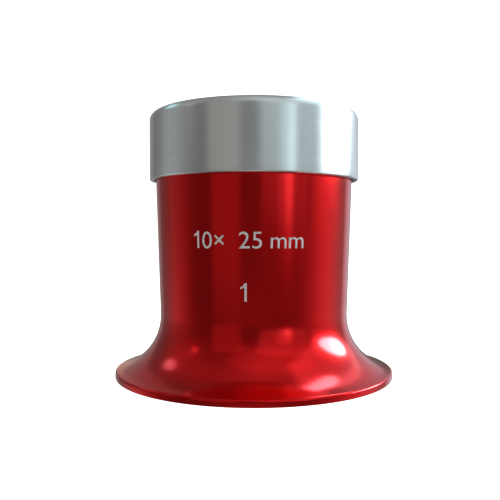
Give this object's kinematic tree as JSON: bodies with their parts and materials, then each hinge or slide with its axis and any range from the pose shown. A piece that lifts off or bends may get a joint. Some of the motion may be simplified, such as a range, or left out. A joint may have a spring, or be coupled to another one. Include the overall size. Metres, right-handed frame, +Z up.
{
  "type": "watchmaker eye loupe",
  "caption": "Watchmaker's eye loupe: a flared aluminium eyecup with a screw-on ring that clamps a pair of lenses in its neck.",
  "frame": {"origin": "centre of the eyecup rim's resting plane", "axes": "+Z up the optical axis, from the eyecup rim to the lens ring; X and Y in the resting plane"},
  "size_m": [0.0366, 0.0366, 0.0344],
  "materials": {
    "red_anodised": "red anodised, fine turning lines",
    "satin_aluminium": "clear anodised, satin, fine turning lines",
    "lens_glass": "polished optical glass, coated",
    "black_anodised": "matt black anodised",
    "black_rubber": "matt black nitrile rubber"
  },
  "bodies": {
    "eyecup": {"eyecup_body": "red_anodised", "seat_gasket": "black_rubber", "rear_lens": "lens_glass", "lens_spacer": "black_anodised", "front_lens": "lens_glass"},
    "seal": {"o_ring": "black_rubber"},
    "ring": {"clamp_ring": "satin_aluminium"}
  },
  "joints": [
    {"name": "ring_rise", "type": "slide", "parent": "eyecup", "child": "seal", "axis": [0, 0, 1], "range_m": [0, 0.0038]},
    {"name": "ring_turn", "type": "hinge", "parent": "seal", "child": "ring", "pos_m": [0, 0, 0.0335], "axis": [0, 0, 1], "range_deg": [0, 1800]}
  ],
  "couplings": [
    {"joint": "ring_rise", "follows": "ring_turn", "m_per_rad": 0.00011937}
  ]
}
